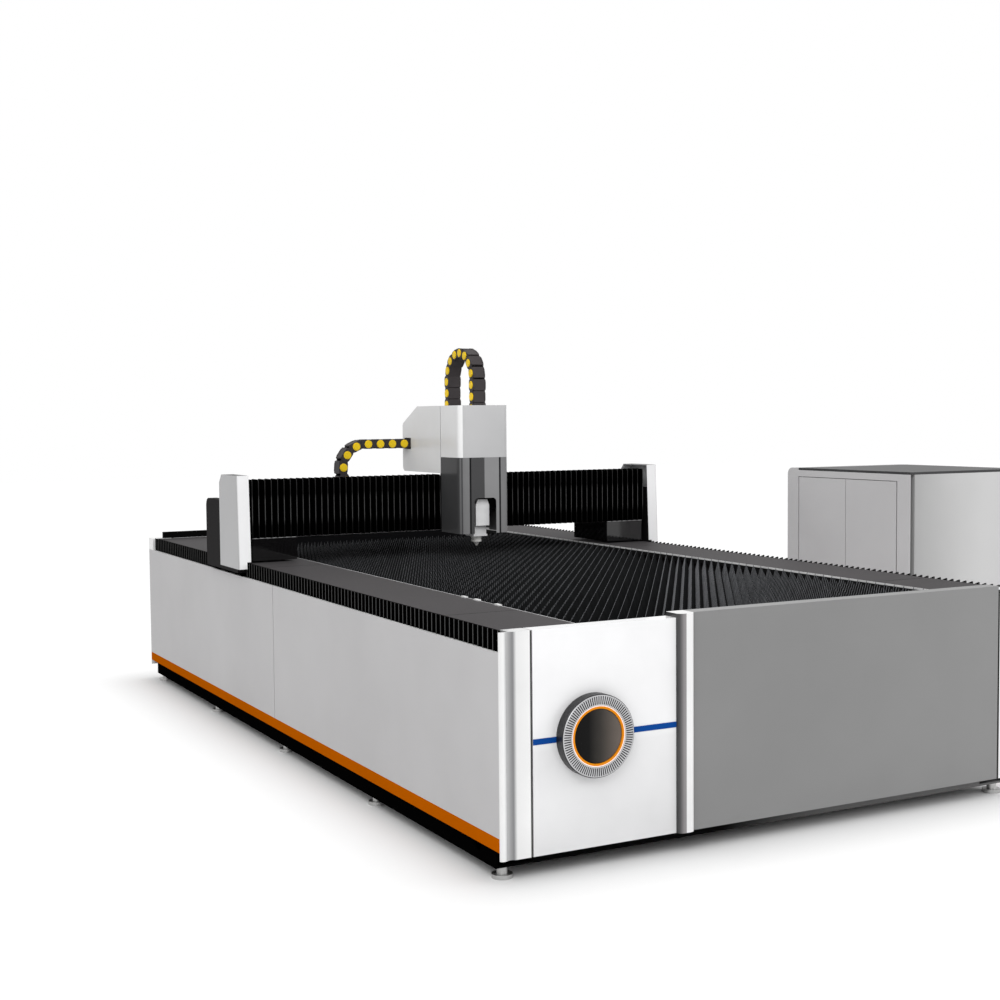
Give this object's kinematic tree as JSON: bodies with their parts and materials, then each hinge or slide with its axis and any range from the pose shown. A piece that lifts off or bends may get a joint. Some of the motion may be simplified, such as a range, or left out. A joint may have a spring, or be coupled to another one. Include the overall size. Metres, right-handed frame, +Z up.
{
  "type": "fiber laser cutting machine",
  "caption": "Open flatbed fiber laser cutting machine: saw-tooth slat bed, gantry with bellows and cable chains, lifting cutting head, supply cabinet beside the bed.",
  "frame": {"origin": "middle of the floor plan, on the floor, lamp and cabinet included", "axes": "+Z up; +Y along the bed from its front panel to its rear; +X across the bed towards the cabinet"},
  "size_m": [3.694, 4.34, 1.8197],
  "materials": {
    "frame_grey": "satin powder coat",
    "frame_black": "satin powder coat",
    "foot_black": "gloss paint",
    "zinc_steel": "zinc plated",
    "ground_steel": "ground",
    "slat_steel": "dark mill scale",
    "panel_grey": "satin paint",
    "panel_mid_grey": "satin paint",
    "panel_white": "gloss paint",
    "column_silver": "gloss paint",
    "trim_orange": "satin paint",
    "lamp_silver": "satin",
    "lamp_orange": "translucent gloss",
    "lens_black": "gloss",
    "accent_blue": "gloss paint",
    "cover_dark": "satin paint",
    "bellows_black": "coated cloth",
    "motor_black": "satin paint",
    "chain_black": "moulded",
    "shroud_smoke": "gloss",
    "head_silver": "satin anodised",
    "nozzle_brass": "turned"
  },
  "bodies": {
    "bed": {"base_frame": "frame_grey", "levelling_feet": "zinc_steel", "bed_frame": "frame_black", "rail_inner_walls": "frame_black", "side_panels": "panel_grey", "base_trims": "trim_orange", "corner_columns": "column_silver", "divider_column": "column_silver", "feature_panel": "panel_white", "front_panel": "panel_mid_grey", "rear_panel": "panel_grey", "lamp_housing": "lamp_silver", "lamp_light_ring": "lamp_orange", "lamp_lens": "lens_black", "accent_strips": "accent_blue", "rail_covers": "cover_dark", "rail_edge_strips": "zinc_steel", "y_guide_rails": "ground_steel", "y_racks": "ground_steel", "slats_front": "slat_steel", "slats_rear": "slat_steel", "slat_supports": "slat_steel", "scrap_trays": "frame_black", "rear_deck": "cover_dark", "rail_bellows": "bellows_black", "cable_duct": "cover_dark", "cabinet_frame": "panel_grey", "cabinet_panels": "panel_grey", "cabinet_roof": "cover_dark", "hinge_pins": "zinc_steel", "laser_source": "motor_black"},
    "gantry": {"gantry_beam": "frame_black", "gantry_end_plates": "frame_black", "y_guide_blocks": "ground_steel", "gantry_foot_blocks": "foot_black", "gantry_covers": "panel_grey", "y_drive_motors": "motor_black", "x_guide_rails": "ground_steel", "x_rack": "ground_steel", "chain_tray": "cover_dark", "beam_bellows": "bellows_black", "x_cable_chain": "chain_black"},
    "carriage": {"carriage_plate": "frame_black", "x_guide_blocks": "ground_steel", "carriage_front_housing": "panel_white", "carriage_rear_housing": "panel_white", "head_shroud": "shroud_smoke", "x_drive_motor": "motor_black", "z_axis_motor": "motor_black", "z_guide_rails": "ground_steel", "z_cable_chain": "chain_black"},
    "head": {"head_slide": "head_silver", "cutting_head": "head_silver", "nozzle": "nozzle_brass"},
    "left_pinion": {"y_pinion_left": "ground_steel"},
    "right_pinion": {"y_pinion_right": "ground_steel"},
    "carriage_pinion": {"x_pinion": "ground_steel"},
    "lift_screw": {"ball_screw": "ground_steel"},
    "front_door": {"cabinet_door_front": "panel_grey"},
    "rear_door": {"cabinet_door_rear": "panel_grey"}
  },
  "joints": [
    {"name": "gantry_travel", "type": "slide", "parent": "bed", "child": "gantry", "axis": [0, 1, 0], "range_m": [-2.2, 1.05], "deforming": ["rail_bellows"]},
    {"name": "carriage_travel", "type": "slide", "parent": "gantry", "child": "carriage", "axis": [1, 0, 0], "range_m": [-0.79, 0.75], "deforming": ["beam_bellows", "x_cable_chain"]},
    {"name": "head_lift", "type": "slide", "parent": "carriage", "child": "head", "axis": [0, 0, 1], "range_m": [-0.035, 0.075], "deforming": ["z_cable_chain"]},
    {"name": "left_pinion_spin", "type": "hinge", "parent": "gantry", "child": "left_pinion", "pos_m": [-1.7572, 0.666, 0.62], "axis": [0, 0, 1], "continuous": true},
    {"name": "right_pinion_spin", "type": "hinge", "parent": "gantry", "child": "right_pinion", "pos_m": [0.3912, 0.666, 0.62], "axis": [0, 0, 1], "continuous": true},
    {"name": "carriage_pinion_spin", "type": "hinge", "parent": "carriage", "child": "carriage_pinion", "pos_m": [-0.569, 0.48, 1.0487], "axis": [0, 1, 0], "continuous": true},
    {"name": "lift_screw_spin", "type": "hinge", "parent": "carriage", "child": "lift_screw", "pos_m": [-0.657, 0.405, 1.1], "axis": [0, 0, 1], "continuous": true},
    {"name": "front_door_hinge", "type": "hinge", "parent": "bed", "child": "front_door", "pos_m": [1.0995, -0.752, 0.6], "axis": [0, 0, 1], "range_deg": [0, 105]},
    {"name": "rear_door_hinge", "type": "hinge", "parent": "bed", "child": "rear_door", "pos_m": [1.0995, -0.052, 0.6], "axis": [0, 0, -1], "range_deg": [0, 105]}
  ],
  "couplings": [
    {"joint": "left_pinion_spin", "follows": "gantry_travel", "rad_per_m": -27.778},
    {"joint": "right_pinion_spin", "follows": "gantry_travel", "rad_per_m": 27.778},
    {"joint": "carriage_pinion_spin", "follows": "carriage_travel", "rad_per_m": 33.333},
    {"joint": "lift_screw_spin", "follows": "head_lift", "rad_per_m": 628.32}
  ]
}
